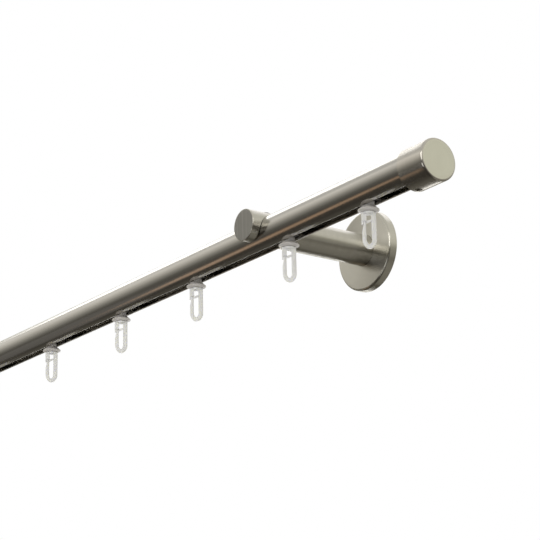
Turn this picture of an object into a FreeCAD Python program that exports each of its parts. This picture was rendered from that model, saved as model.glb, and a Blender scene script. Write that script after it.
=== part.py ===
"""Inner-run curtain track: a slotted round tube on two wall brackets, with end caps
and a row of swivel hook gliders that run inside the tube.

Frame: origin on the wall, behind the arm of the right-hand bracket. +X runs along the
track to its right-hand end, +Y points into the wall, +Z is up. Lengths are millimetres.
"""
import FreeCAD, Part
import math
import os
import re

import Sketcher
from FreeCAD import Placement, Rotation, Vector

# Driving sizes, each written once. Depths are measured down from the tube's axis.
SIZES = {
    # Whole track
    "track_length": 900.0,
    "bracket_inset": 152.7,
    "wall_distance": 79.0,
    # Tube section: a slot below, a channel for the gliders, a web, and a hollow above
    "tube_diameter": 20.0,
    "tube_wall": 1.3,
    "slot_width": 5.5,
    "lip_height": 2.3,
    "lip_rounding": 0.45,
    "channel_height": 4.1,
    "web_thickness": 1.2,
    # End caps: the bore sits high in the cap, so that the screw has a thick wall below
    "cap_length": 20.0,
    "cap_end_wall": 3.0,
    "cap_top_wall": 0.7,
    "cap_bottom_wall": 3.2,
    "cap_clearance": 0.05,
    "cap_edge_rounding": 1.2,
    "cap_screw_inset": 3.4,
    "cap_screw_diameter": 4.0,
    "cap_screw_recess": 0.6,
    "cap_screw_socket": 2.0,
    # Bracket arm: a round bar whose saddle hangs over the tube
    "arm_diameter": 19.0,
    "saddle_clearance": 0.35,
    "saddle_roof": 3.5,
    "head_wall": 5.15,
    "head_chamfer": 0.4,
    # Low-head screw that holds the tube up in the saddle
    "tube_screw_diameter": 4.0,
    "tube_screw_head": 7.0,
    "tube_screw_head_height": 1.6,
    "tube_screw_reach": 2.2,
    "tube_screw_socket": 2.5,
    # Wall plate and the countersunk bolt that holds the arm on it
    "plate_thickness": 4.0,
    "plate_hole_spacing": 30.0,
    "plate_hole_diameter": 5.0,
    "plate_hole_sink": 9.0,
    "bolt_diameter": 6.0,
    "bolt_head": 11.0,
    "bolt_head_recess": 0.1,
    "bolt_length": 16.0,
    "bolt_socket": 4.0,
    # Rosette: a shallow cover over the wall plate
    "rosette_diameter": 49.2,
    "rosette_depth": 5.8,
    "rosette_wall": 1.4,
    "rosette_rim": 1.6,
    "rosette_edge_rounding": 1.3,
    "rosette_bore_clearance": 0.1,
    "rosette_plate_gap": 2.0,
    "rosette_screw_diameter": 3.0,
    "rosette_screw_recess": 0.3,
    "rosette_screw_setback": 2.2,
    "rosette_screw_socket": 1.5,
    # Clearance of a screw in its thread or hole
    "thread_clearance": 0.05,
    "hole_clearance": 0.15,
    # Runner: a shoe in the channel, a neck in the slot, a lens-shaped flange below
    "shoe_length": 12.0,
    "shoe_height": 2.6,
    "shoe_corner": 2.5,
    "shoe_floor_gap": 0.1,
    "shoe_side_gap": 0.35,
    "neck_length": 8.0,
    "neck_side_gap": 0.3,
    "flange_diameter": 11.8,
    "flange_top": 7.6,
    "flange_edge": 0.5,
    "flange_gap": 0.4,
    "flange_shoulder": 1.9,
    "flange_height": 3.1,
    "flange_foot": 7.8,
    # Swivel: the hook's stem in the runner's bore, with a snap head above a step
    "stem_diameter": 2.5,
    "stem_clearance": 0.05,
    "stem_head": 3.9,
    "stem_head_height": 1.0,
    "stem_head_gap": 0.2,
    "stem_play": 0.05,
    "hook_gap": 0.2,
    # Hook: an open loop in one plane, its free leg caught behind a cheek
    "hook_length": 20.7,
    "hook_width": 7.8,
    "hook_thickness": 2.2,
    "hook_chamfer": 0.5,
    "hook_collar": 6.4,
    "hook_collar_height": 0.8,
    "back_leg": 2.7,
    "free_leg": 2.2,
    "loop_base": 2.4,
    "outer_bend": 5.2,
    "outer_tip": 2.9,
    "inner_bend": 2.7,
    "inner_tip": 0.7,
    "bar_drop": 5.45,
    "bar_thickness": 0.8,
    "bar_slant": 1.1,
    "cheek_overhang": 0.2,
    "cheek_thickness": 0.8,
    "cheek_length": 1.75,
    "gate_gap": 0.18,
    "gate_reach": 4.0,
    "window_drop": 0.7,
    "window_slant": 0.9,
    "window_margin": 0.3,
    "hook_turn": 54.0,
    # Where the first gliders stand, from the track's right-hand end. The last two stand
    # as far from the left-hand end as the first two do from this one.
    "glider_1": 58.4,
    "glider_2": 130.2,
    "glider_3": 224.0,
    "glider_4": 309.4,
    "glider_5": 397.4,
}
GLIDER_COUNT = 10
PLACED_GLIDERS = 5
MIRRORED_GLIDERS = 2

doc = FreeCAD.newDocument("curtain_track")
sheet = doc.addObject("Spreadsheet::Sheet", "sizes")
for row, (alias, number) in enumerate(SIZES.items(), start=1):
    sheet.set(f"A{row}", alias)
    sheet.set(f"B{row}", str(number))
    sheet.setAlias(f"B{row}", alias)
doc.recompute()


# Formulas and features

def formula(text):
    """The text with each size's name turned into a reference to its cell."""
    return re.sub(r"\b[a-z]\w*_\w+\b", lambda word: f"sizes.{word[0]}" if word[0] in SIZES else word[0], text)


def value(text):
    return float(sheet.evalExpression(formula(text)))


def bind(thing, **formulas):
    for name, text in formulas.items():
        thing.setExpression(name, formula(text))


def place(thing, x="0", y="0", z="0", turn=None):
    """Turns a piece about its own origin, then sets it at x, y, z in the part's frame."""
    thing.Placement = Placement(Vector(value(x), value(y), value(z)), turn or Rotation())
    for axis, text in (("x", x), ("y", y), ("z", z)):
        thing.setExpression(f"Placement.Base.{axis}", formula(text))
    return thing


def new_body(name):
    body = doc.addObject("PartDesign::Body", name)
    body.Label = name
    return body


def new_sketch(body, plane, offset="0"):
    """A sketch on one of the body's origin planes, moved along that plane's normal."""
    sketch = body.newObject("Sketcher::SketchObject", f"{body.Name}_sketch")
    support = [f for f in body.Origin.OriginFeatures if f.Role == f"{plane}_Plane"][0]
    sketch.AttachmentSupport = (support, [""])
    sketch.MapMode = "FlatFace"
    sketch.AttachmentOffset = Placement(Vector(0, 0, value(offset)), Rotation())
    sketch.setExpression("AttachmentOffset.Base.z", formula(offset))
    return sketch


def hold(sketch, element, point, axis, text):
    """Fixes one coordinate of a sketch point to a formula."""
    if text == "0":
        sketch.addConstraint(Sketcher.Constraint("PointOnObject", element, point, -2 if axis == "X" else -1))
        return
    rule = Sketcher.Constraint(f"Distance{axis}", -1, 1, element, point, value(text))
    sketch.setExpression(f"Constraints[{sketch.addConstraint(rule)}]", formula(text))


def add_circle(sketch, x, y, radius):
    centre = Vector(value(x), value(y), 0)
    circle = sketch.addGeometry(Part.Circle(centre, Vector(0, 0, 1), value(radius)), False)
    hold(sketch, circle, 3, "X", x)
    hold(sketch, circle, 3, "Y", y)
    size = sketch.addConstraint(Sketcher.Constraint("Radius", circle, value(radius)))
    sketch.setExpression(f"Constraints[{size}]", formula(radius))


def add_outline(sketch, corners):
    """Draws a closed outline. Each corner is (x, y), or (x, y, centre x, centre y, turn)
    where an arc leads on to the next corner, anticlockwise for turn 1 and clockwise
    for -1. The last corner leads back to the first one."""
    spots = [Vector(value(c[0]), value(c[1]), 0) for c in corners]
    elements = []
    for here, there, corner in zip(spots, spots[1:] + spots[:1], corners):
        if len(corner) == 2:
            elements.append(sketch.addGeometry(Part.LineSegment(here, there), False))
            continue
        centre = Vector(value(corner[2]), value(corner[3]), 0)
        start, end = (here, there) if corner[4] > 0 else (there, here)
        angles = [math.atan2(spot.y - centre.y, spot.x - centre.x) for spot in (start, end)]
        circle = Part.Circle(centre, Vector(0, 0, 1), (start - centre).Length)
        elements.append(sketch.addGeometry(Part.ArcOfCircle(circle, *angles), False))
    for index, corner in enumerate(corners):
        before = corners[index - 1]
        element, last = elements[index], elements[index - 1]
        head = 1 if len(corner) == 2 or corner[4] > 0 else 2
        tail = 2 if len(before) == 2 or before[4] > 0 else 1
        sketch.addConstraint(Sketcher.Constraint("Coincident", last, tail, element, head))
        axes = "XY"
        if len(before) == 5:
            # An arc's centre and start fix its radius, so one coordinate holds its end.
            across = spots[index].x - value(before[2])
            along = spots[index].y - value(before[3])
            axes = "Y" if abs(across) > abs(along) else "X"
        for axis in axes:
            hold(sketch, element, head, axis, corner["XY".index(axis)])
        if len(corner) == 5:
            hold(sketch, element, 3, "X", corner[2])
            hold(sketch, element, 3, "Y", corner[3])


def add_hexagon(sketch, across_flats, x="0", y="0"):
    """A hexagon with two flats across the sketch's first axis."""
    corners = []
    for side in range(6):
        turn = math.radians(60 * side + 30)
        reach = f"({across_flats}) / sqrt(3)"
        corners.append((f"{x} + {reach} * {math.cos(turn):.9f}", f"{y} + {reach} * {math.sin(turn):.9f}"))
    add_outline(sketch, corners)


def add_material(body, sketch, length, other_way=None, reverse=False, middle=False):
    pad = body.newObject("PartDesign::Pad", f"{body.Name}_pad")
    pad.Profile = sketch
    pad.SideType = "Two sides" if other_way else "Symmetric" if middle else "One side"
    pad.Reversed = reverse
    bind(pad, Length=length)
    if other_way:
        bind(pad, Length2=other_way)
    return pad


def cut(body, sketch, length=None, reverse=False, middle=False):
    """Cuts away from the sketch, against its normal unless reversed. No length cuts through."""
    doc.recompute()
    before = body.Shape.Volume
    pocket = body.newObject("PartDesign::Pocket", f"{body.Name}_pocket")
    pocket.Profile = sketch
    pocket.SideType = "Symmetric" if middle else "One side"
    pocket.Reversed = reverse
    if length:
        bind(pocket, Length=length)
    else:
        pocket.Type = "ThroughAll"
    doc.recompute()
    if not body.Shape.Volume < before:
        raise RuntimeError(f"a pocket of {body.Label} cuts nothing")
    return pocket


def spin(body, sketch, axis, groove=False):
    """Revolves a sketch about its own H_Axis or V_Axis, or grooves the body with it."""
    doc.recompute()
    before = body.Shape.Volume if groove else 0
    kind = "Groove" if groove else "Revolution"
    feature = body.newObject(f"PartDesign::{kind}", f"{body.Name}_{kind.lower()}")
    feature.Profile = sketch
    feature.ReferenceAxis = (sketch, [axis])
    feature.Angle = 360
    doc.recompute()
    if groove and not body.Shape.Volume < before:
        raise RuntimeError(f"a groove of {body.Label} cuts nothing")
    return feature


def soften(body, size, choose, kind="Fillet"):
    """Rounds or chamfers those edges of the body that the rule picks."""
    doc.recompute()
    base = body.Tip
    picked = [f"Edge{n}" for n, edge in enumerate(base.Shape.Edges, start=1) if choose(edge)]
    if not picked:
        raise RuntimeError(f"{body.Label} has no such edge to soften")
    feature = body.newObject(f"PartDesign::{kind}", f"{body.Name}_{kind.lower()}")
    feature.Base = (base, picked)
    bind(feature, **{"Radius" if kind == "Fillet" else "Size": size})
    return feature


def is_circle(edge, radius):
    return isinstance(edge.Curve, Part.Circle) and abs(edge.Curve.Radius - value(radius)) < 1e-4


def at(edge, axis, text):
    """True where the whole edge lies at one coordinate."""
    return all(abs(getattr(v.Point, axis) - value(text)) < 1e-4 for v in edge.Vertexes)


def group(name, members):
    """Like fasteners, kept together as one piece of several solids."""
    compound = doc.addObject("Part::Compound", name)
    compound.Label = name
    compound.Links = members
    return compound


# Lines that several pieces share, as formulas of the sizes

TUBE_RADIUS = "(tube_diameter / 2)"
TUBE_BORE = f"({TUBE_RADIUS} - tube_wall)"
SLOT_HALF = "(slot_width / 2)"
MOUTH = f"sqrt({TUBE_RADIUS}^2 - {SLOT_HALF}^2)"
FLOOR = f"({MOUTH} - lip_height)"
FLOOR_HALF = f"sqrt({TUBE_BORE}^2 - {FLOOR}^2)"
CEILING = f"({FLOOR} - channel_height)"
WEB_TOP = f"({CEILING} - web_thickness)"

CAP_BORE = f"({TUBE_RADIUS} + cap_clearance)"
CAP_RADIUS = f"({CAP_BORE} + (cap_top_wall + cap_bottom_wall) / 2)"
CAP_DROP = "((cap_bottom_wall - cap_top_wall) / 2)"

ARM_RADIUS = "(arm_diameter / 2)"
SADDLE_RADIUS = f"({TUBE_RADIUS} + saddle_clearance)"
ARM_CROWN = f"({TUBE_RADIUS} + saddle_roof)"
ARM_RISE = f"({ARM_CROWN} - {ARM_RADIUS})"
HEAD_REACH = f"({SADDLE_RADIUS} + head_wall)"
SCREW_SEAT = f"({ARM_CROWN} - tube_screw_head_height)"

ROSETTE_RADIUS = "(rosette_diameter / 2)"
ROSETTE_INSIDE = f"({ROSETTE_RADIUS} - rosette_rim)"
PLATE_RADIUS = f"({ROSETTE_INSIDE} - rosette_plate_gap)"

SHOE_FOOT = f"({FLOOR} - shoe_floor_gap)"
SHOE_TOP = f"({SHOE_FOOT} - shoe_height)"
FLANGE_TOP = f"({MOUTH} + flange_gap)"
FLANGE_FOOT = f"({FLANGE_TOP} + flange_height)"
STEM_STEP = f"({SHOE_TOP} + stem_head_gap + stem_head_height + stem_play)"
STEM_BORE = "(stem_diameter / 2 + stem_clearance)"
HOOK_TOP = f"({FLANGE_FOOT} + hook_gap)"

# The track's right-hand end, and where the tube's axis lies, in the part's frame
RIGHT_END = "bracket_inset"
LEFT_END = "(bracket_inset - track_length)"
LEFT_BRACKET = "(2 * bracket_inset - track_length)"
TUBE_Y = "-wall_distance"
TUBE_Z = f"-{ARM_RISE}"
HALF_TURN = Rotation(Vector(0, 0, 1), 180)
UPSIDE_DOWN = Rotation(Vector(1, 0, 0), 180)


# Track tube: one extruded section with a slot, a glider channel, a web and a hollow

def make_track_tube():
    body = new_body("track_tube")
    section = new_sketch(body, "YZ")
    ceiling_half = f"sqrt({TUBE_BORE}^2 - {CEILING}^2)"
    add_outline(section, [
        (f"-{SLOT_HALF}", f"-{MOUTH}", "0", "0", -1),
        (SLOT_HALF, f"-{MOUTH}"),
        (SLOT_HALF, f"-{FLOOR}"),
        (FLOOR_HALF, f"-{FLOOR}", "0", "0", 1),
        (ceiling_half, f"-{CEILING}"),
        (f"-{ceiling_half}", f"-{CEILING}", "0", "0", 1),
        (f"-{FLOOR_HALF}", f"-{FLOOR}"),
        (f"-{SLOT_HALF}", f"-{FLOOR}"),
    ])
    web_half = f"sqrt({TUBE_BORE}^2 - {WEB_TOP}^2)"
    add_outline(section, [
        (web_half, f"-{WEB_TOP}", "0", "0", 1),
        (f"-{web_half}", f"-{WEB_TOP}"),
    ])
    add_material(body, section, "track_length - 2 * cap_end_wall")
    soften(body, "lip_rounding", lambda edge: isinstance(edge.Curve, Part.Line) and at(edge, "z", f"-{MOUTH}"))
    holes = new_sketch(body, "XY")
    for inset in ("bracket_inset", "(track_length - bracket_inset)"):
        add_circle(holes, f"{inset} - cap_end_wall", "0", "tube_screw_diameter / 2 + thread_clearance")
    cut(body, holes, reverse=True)
    return place(body, f"{LEFT_END} + cap_end_wall", TUBE_Y, TUBE_Z)


# End caps: turned plugs that slip over the tube's ends

def make_end_cap(side, x, turn):
    body = new_body(f"end_cap_{side}")
    blank = new_sketch(body, "YZ")
    add_circle(blank, "0", f"-{CAP_DROP}", CAP_RADIUS)
    add_material(body, blank, "cap_length", reverse=True)
    soften(body, "cap_edge_rounding", lambda edge: is_circle(edge, CAP_RADIUS) and at(edge, "x", "0"))
    bore = new_sketch(body, "YZ", "-cap_length")
    add_circle(bore, "0", "0", CAP_BORE)
    cut(body, bore, "cap_length - cap_end_wall", reverse=True)
    hole = new_sketch(body, "XY")
    add_circle(hole, "cap_screw_inset - cap_length", "0", "cap_screw_diameter / 2 + thread_clearance")
    cut(body, hole)
    return place(body, x, TUBE_Y, TUBE_Z, turn)


# Grub screw: headless, with a hexagon socket in its far end, standing on its tip

def make_grub_screw(name, diameter, length, socket):
    body = new_body(name)
    shank = new_sketch(body, "XY")
    add_circle(shank, "0", "0", f"{diameter} / 2")
    add_material(body, shank, length)
    soften(body, f"{diameter} / 10", lambda edge: at(edge, "z", "0"), "Chamfer")
    key = new_sketch(body, "XY", length)
    add_hexagon(key, socket)
    cut(body, key, f"{diameter} / 2")
    return body


# Bracket arm: a round bar that ends in a disc-faced head, with a saddle open below

def make_bracket_arm(side, x):
    body = new_body(f"bracket_arm_{side}")
    bar = new_sketch(body, "XZ")
    add_circle(bar, "0", ARM_RISE, ARM_RADIUS)
    add_material(body, bar, HEAD_REACH, other_way="wall_distance - plate_thickness")
    soften(body, "head_chamfer",
           lambda edge: is_circle(edge, ARM_RADIUS) and at(edge, "y", f"-{HEAD_REACH}"), "Chamfer")
    saddle = new_sketch(body, "YZ")
    low = f"-({ARM_RADIUS} + saddle_roof)"
    add_outline(saddle, [
        (SADDLE_RADIUS, low),
        (SADDLE_RADIUS, "-saddle_clearance", "0", "-saddle_clearance", 1),
        (f"-{SADDLE_RADIUS}", "-saddle_clearance"),
        (f"-{SADDLE_RADIUS}", low),
    ])
    cut(body, saddle, middle=True)
    screw_hole = new_sketch(body, "XZ")
    shank = "tube_screw_diameter / 2 + hole_clearance"
    head = "tube_screw_head / 2 + hole_clearance"
    add_outline(screw_hole, [
        ("0", "0"),
        (shank, "0"),
        (shank, SCREW_SEAT),
        (head, SCREW_SEAT),
        (head, f"{ARM_CROWN} + saddle_roof"),
        ("0", f"{ARM_CROWN} + saddle_roof"),
    ])
    spin(body, screw_hole, "V_Axis", groove=True)
    thread = new_sketch(body, "XZ", "plate_thickness - wall_distance")
    add_circle(thread, "0", ARM_RISE, "bolt_diameter / 2 + thread_clearance")
    cut(body, thread, "bolt_length", reverse=True)
    return place(body, x, TUBE_Y, TUBE_Z)


# Tube screw: low round head on the arm's seat, shank through the saddle's roof

def make_tube_screw(side, x):
    body = new_body(f"tube_screw_{side}")
    profile = new_sketch(body, "XZ")
    foot = f"-({SCREW_SEAT} - {TUBE_BORE} + tube_screw_reach)"
    add_outline(profile, [
        ("0", foot),
        ("tube_screw_diameter / 2", foot),
        ("tube_screw_diameter / 2", "0"),
        ("tube_screw_head / 2", "0"),
        ("tube_screw_head / 2", "tube_screw_head_height"),
        ("0", "tube_screw_head_height"),
    ])
    spin(body, profile, "V_Axis")
    soften(body, "tube_screw_head_height / 4", lambda edge: at(edge, "z", "tube_screw_head_height"), "Chamfer")
    key = new_sketch(body, "XY", "tube_screw_head_height")
    add_hexagon(key, "tube_screw_socket")
    cut(body, key, "tube_screw_head_height * 0.6")
    return place(body, x, TUBE_Y, f"{TUBE_Z} + {SCREW_SEAT}")


# Wall plate: a steel disc with two countersunk screw holes and a sunk bolt hole behind

def make_wall_plate(side, x):
    body = new_body(f"wall_plate_{side}")
    disc = new_sketch(body, "XZ")
    add_circle(disc, "0", "0", PLATE_RADIUS)
    add_material(body, disc, "plate_thickness")
    sink = new_sketch(body, "YZ")
    mouth = "bolt_head / 2 + bolt_head_recess"
    hole = "bolt_diameter / 2 + hole_clearance"
    add_outline(sink, [
        ("0", "0"),
        ("0", mouth),
        (f"{hole} - ({mouth})", hole),
        ("-2 * plate_thickness", hole),
        ("-2 * plate_thickness", "0"),
    ])
    spin(body, sink, "H_Axis", groove=True)
    spots = new_sketch(body, "XZ", "plate_thickness")
    for height in ("plate_hole_spacing / 2", "-plate_hole_spacing / 2"):
        add_circle(spots, "0", height, "plate_hole_diameter / 2")
    doc.recompute()
    before = body.Shape.Volume
    holes = body.newObject("PartDesign::Hole", f"{body.Name}_holes")
    holes.Profile = spots
    doc.recompute()
    holes.DepthType = "ThroughAll"
    holes.Threaded = False
    holes.HoleCutType = "Countersink"
    holes.HoleCutCustomValues = True
    holes.HoleCutCountersinkAngle = 90
    bind(holes, Diameter="plate_hole_diameter", HoleCutDiameter="plate_hole_sink")
    doc.recompute()
    if not body.Shape.Volume < before:
        raise RuntimeError("the wall plate's screw holes cut nothing")
    return place(body, x)


# Arm bolt: countersunk, put in from behind the plate, with a hexagon socket

def make_arm_bolt(side, x):
    body = new_body(f"arm_bolt_{side}")
    profile = new_sketch(body, "YZ")
    back = "-bolt_head_recess"
    add_outline(profile, [
        (back, "0"),
        (back, "bolt_head / 2"),
        (f"{back} - (bolt_head - bolt_diameter) / 2", "bolt_diameter / 2"),
        ("-bolt_length", "bolt_diameter / 2"),
        ("-bolt_length", "0"),
    ])
    spin(body, profile, "H_Axis")
    key = new_sketch(body, "XZ", "bolt_head_recess")
    add_hexagon(key, "bolt_socket")
    cut(body, key, "bolt_diameter * 0.4", reverse=True)
    return place(body, x)


# Rosette: a pressed cover that slides along the arm and closes over the wall plate

def make_rosette(side, x):
    body = new_body(f"rosette_{side}")
    profile = new_sketch(body, "YZ")
    bore = f"{ARM_RADIUS} + rosette_bore_clearance"
    add_outline(profile, [
        ("0", ROSETTE_RADIUS),
        ("-rosette_depth", ROSETTE_RADIUS),
        ("-rosette_depth", bore),
        ("rosette_wall - rosette_depth", bore),
        ("rosette_wall - rosette_depth", ROSETTE_INSIDE),
        ("0", ROSETTE_INSIDE),
    ])
    spin(body, profile, "H_Axis")
    soften(body, "rosette_edge_rounding",
           lambda edge: is_circle(edge, ROSETTE_RADIUS) and at(edge, "y", "-rosette_depth"))
    hole = new_sketch(body, "XY")
    add_circle(hole, "0", "-rosette_screw_setback", "rosette_screw_diameter / 2 + thread_clearance")
    cut(body, hole, reverse=True)
    return place(body, x)


# Runner: shoe, neck and flange in one moulding, bored for the hook's stem

def make_runner(number, x):
    body = new_body(f"runner_{number}")
    shoe = new_sketch(body, "XY", f"-{SHOE_FOOT}")
    side = f"({FLOOR_HALF} - shoe_side_gap)"
    add_outline(shoe, [
        ("-shoe_length / 2", f"-{side}"),
        ("shoe_length / 2", f"-{side}"),
        ("shoe_length / 2", side),
        ("-shoe_length / 2", side),
    ])
    add_material(body, shoe, "shoe_height")
    soften(body, "shoe_corner", lambda edge: abs(edge.Length - value("shoe_height")) < 1e-4)
    neck = new_sketch(body, "XY", f"-{SHOE_FOOT}")
    half = f"({SLOT_HALF} - neck_side_gap)"
    bend = f"(neck_length / 2 - {half})"
    add_outline(neck, [
        (f"-{bend}", f"-{half}"),
        (bend, f"-{half}", bend, "0", 1),
        (bend, half),
        (f"-{bend}", half, f"-{bend}", "0", 1),
    ])
    add_material(body, neck, f"{FLANGE_TOP} + flange_edge - {SHOE_FOOT}", reverse=True)
    flange = new_sketch(body, "XZ")
    rim = "flange_diameter / 2"
    add_outline(flange, [
        ("0", f"-{FLANGE_TOP}"),
        ("flange_top / 2", f"-{FLANGE_TOP}"),
        (rim, f"-({FLANGE_TOP} + flange_shoulder)"),
        (rim, f"-({FLANGE_TOP} + flange_shoulder + flange_edge)"),
        ("flange_foot / 2", f"-{FLANGE_FOOT}"),
        ("0", f"-{FLANGE_FOOT}"),
    ])
    spin(body, flange, "V_Axis")
    bore = new_sketch(body, "XZ")
    room = "stem_head / 2 + hole_clearance"
    add_outline(bore, [
        ("0", f"-({FLANGE_FOOT} + hook_gap)"),
        (STEM_BORE, f"-({FLANGE_FOOT} + hook_gap)"),
        (STEM_BORE, f"-{STEM_STEP}"),
        (room, f"-{STEM_STEP}"),
        (room, f"-{CEILING}"),
        ("0", f"-{CEILING}"),
    ])
    spin(body, bore, "V_Axis", groove=True)
    return place(body, x, TUBE_Y, TUBE_Z)


# Hook: an open loop under a swivel stem. Its profile lies in the hook's own XZ plane.

def loop_bend(middle, half, straight_end, base, tip):
    """The foot of a loop, from its right side to its left side, as three tangent arcs:
    a round tip at the base, and a wider arc up to where each side runs straight.
    The side arc's radius s follows from its touching both: with h the height from the
    tip's centre to the straight part, s = (half^2 + h^2 - tip^2) / (2 (half - tip))."""
    centre = f"({base} + ({tip}))"
    height = f"(({straight_end}) - {centre})"
    side = f"((({half})^2 + {height}^2 - ({tip})^2) / (2 * (({half}) - ({tip}))))"
    share = f"(({tip}) / ({side} - ({tip})))"
    across = f"({side} - ({half})) * {share}"
    touch_z = f"{centre} - {height} * {share}"
    return [
        (f"{middle} + {half}", straight_end, f"{middle} + {half} - {side}", straight_end, -1),
        (f"{middle} + {across}", touch_z, middle, centre, -1),
        (f"{middle} - {across}", touch_z, f"{middle} - {half} + {side}", straight_end, -1),
        (f"{middle} - {half}", straight_end),
    ]


def make_hook(number, x):
    body = new_body(f"hook_{number}")
    half = "(hook_width / 2)"
    base = f"(-{HOOK_TOP} - hook_length)"
    bar = f"(-{HOOK_TOP} - bar_drop)"
    left = f"(free_leg - {half})"
    right = f"({half} - back_leg)"
    inner_middle = f"(({left} + {right}) / 2)"
    inner_half = f"(({right} - {left}) / 2)"
    inner_base = f"({base} + loop_base)"
    cheek = f"(cheek_thickness - {half} - cheek_overhang)"
    pocket = f"({bar} + bar_slant - bar_thickness)"
    cheek_foot = f"({pocket} - cheek_length)"
    outer = loop_bend("0", half, f"{base} + outer_bend", base, "outer_tip")
    inner = loop_bend(inner_middle, inner_half, f"{inner_base} + inner_bend", inner_base, "inner_tip")
    # The inner bend runs the other way round, so its arcs are taken in reverse.
    inner_back = [
        (inner[3][0], inner[3][1], inner[2][2], inner[2][3], 1),
        (inner[2][0], inner[2][1], inner[1][2], inner[1][3], 1),
        (inner[1][0], inner[1][1], inner[0][2], inner[0][3], 1),
        (inner[0][0], inner[0][1]),
    ]
    profile = new_sketch(body, "XZ")
    add_outline(profile, [
        (f"-{half} - cheek_overhang", f"-{HOOK_TOP}"),
        (half, f"-{HOOK_TOP}"),
        *outer,
        (f"-{half}", f"{cheek_foot} - gate_reach"),
        (f"{cheek} + gate_gap", f"{cheek_foot} - gate_gap"),
        (f"{cheek} + gate_gap", f"{pocket} - gate_gap"),
        (left, f"{pocket} - gate_gap"),
        *inner_back,
        (right, f"{bar} - bar_thickness + bar_slant"),
        (f"{left} + gate_gap", f"{bar} - bar_thickness"),
        (f"{left} + gate_gap", pocket),
        (cheek, pocket),
        (cheek, cheek_foot),
        (f"-{half} - cheek_overhang", cheek_foot),
    ])
    add_material(body, profile, "hook_thickness", middle=True)
    window = new_sketch(body, "XZ")
    window_top = f"(-{HOOK_TOP} - window_drop)"
    add_outline(window, [
        (f"{left} + window_margin", f"{bar} + window_margin * bar_slant / ({right} - {left})"),
        (right, f"{bar} + bar_slant"),
        (right, f"{window_top} - window_slant"),
        (f"{left} + window_margin", window_top),
    ])
    cut(body, window, middle=True)
    flank = "hook_thickness / 2"
    soften(body, "hook_chamfer",
           lambda edge: edge.BoundBox.ZMin < value(f"{cheek_foot} - gate_reach")
           and (at(edge, "y", flank) or at(edge, "y", f"-{flank}")), "Chamfer")
    stem = new_sketch(body, "XZ")
    head = f"-({STEM_STEP} - stem_play)"
    add_outline(stem, [
        ("0", f"-{HOOK_TOP} - hook_collar_height"),
        ("hook_collar / 2", f"-{HOOK_TOP} - hook_collar_height"),
        ("hook_collar / 2", f"-{HOOK_TOP}"),
        ("stem_diameter / 2", f"-{HOOK_TOP}"),
        ("stem_diameter / 2", head),
        ("stem_head / 2", head),
        ("stem_diameter / 2", f"{head} + stem_head_height"),
        ("0", f"{head} + stem_head_height"),
    ])
    spin(body, stem, "V_Axis")
    return place(body, x, TUBE_Y, TUBE_Z, Rotation(Vector(0, 0, 1), value("hook_turn")))


# Assembly

def glider_place(number):
    """Placed gliders keep their own distance from the right-hand end, the last ones mirror
    the first at the left-hand end, and those between are spaced evenly."""
    if number <= PLACED_GLIDERS:
        return f"{RIGHT_END} - glider_{number}"
    if number > GLIDER_COUNT - MIRRORED_GLIDERS:
        return f"{LEFT_END} + glider_{GLIDER_COUNT + 1 - number}"
    steps = GLIDER_COUNT - MIRRORED_GLIDERS + 1 - PLACED_GLIDERS
    stretch = f"(track_length - glider_{MIRRORED_GLIDERS} - glider_{PLACED_GLIDERS})"
    return f"{RIGHT_END} - glider_{PLACED_GLIDERS} - {stretch} * {number - PLACED_GLIDERS} / {steps}"


sides = (("right", "0", RIGHT_END, Rotation()), ("left", LEFT_BRACKET, LEFT_END, HALF_TURN))
pieces = [make_track_tube()]
cap_screws, tube_screws, arm_bolts, rosette_screws = [], [], [], []
for side, bracket_x, end_x, cap_turn in sides:
    pieces.append(make_end_cap(side, end_x, cap_turn))
    pieces.append(make_bracket_arm(side, bracket_x))
    pieces.append(make_wall_plate(side, bracket_x))
    pieces.append(make_rosette(side, bracket_x))
    tube_screws.append(make_tube_screw(side, bracket_x))
    arm_bolts.append(make_arm_bolt(side, bracket_x))

    grub = make_grub_screw(f"cap_grub_screw_{side}", "cap_screw_diameter",
                           f"{CAP_DROP} + {CAP_RADIUS} - cap_screw_recess - {CEILING}", "cap_screw_socket")
    inward = "-" if side == "right" else "+"
    place(grub, f"{end_x} {inward} (cap_length - cap_screw_inset)", TUBE_Y, f"{TUBE_Z} - {CEILING}", UPSIDE_DOWN)
    cap_screws.append(grub)

    grub = make_grub_screw(f"rosette_grub_screw_{side}", "rosette_screw_diameter",
                           f"{ROSETTE_RADIUS} - rosette_screw_recess - {PLATE_RADIUS}", "rosette_screw_socket")
    rosette_screws.append(place(grub, bracket_x, "-rosette_screw_setback", PLATE_RADIUS))

pieces.append(group("cap_grub_screws", cap_screws))
pieces.append(group("tube_screws", tube_screws))
pieces.append(group("arm_bolts", arm_bolts))
pieces.append(group("rosette_grub_screws", rosette_screws))
for number in range(1, GLIDER_COUNT + 1):
    pieces.append(make_runner(number, glider_place(number)))
    pieces.append(make_hook(number, glider_place(number)))

doc.recompute()
for thing in doc.Objects:
    if "Invalid" in thing.State or "Error" in thing.State:
        raise RuntimeError(f"{thing.Label} did not build")
for piece in pieces:
    if piece.Shape.isNull() or not piece.Shape.isValid():
        raise RuntimeError(f"{piece.Label} is not a sound solid")
os.makedirs("parts", exist_ok=True)
for piece in pieces:
    piece.Shape.exportStep(f"parts/{piece.Label}.step")
    print(f"{piece.Label}: {len(piece.Shape.Solids)} solid(s), {piece.Shape.Volume:.1f} mm3")
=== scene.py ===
import math

import bmesh
import bpy
import numpy as np
from mathutils import Matrix, Vector


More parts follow.
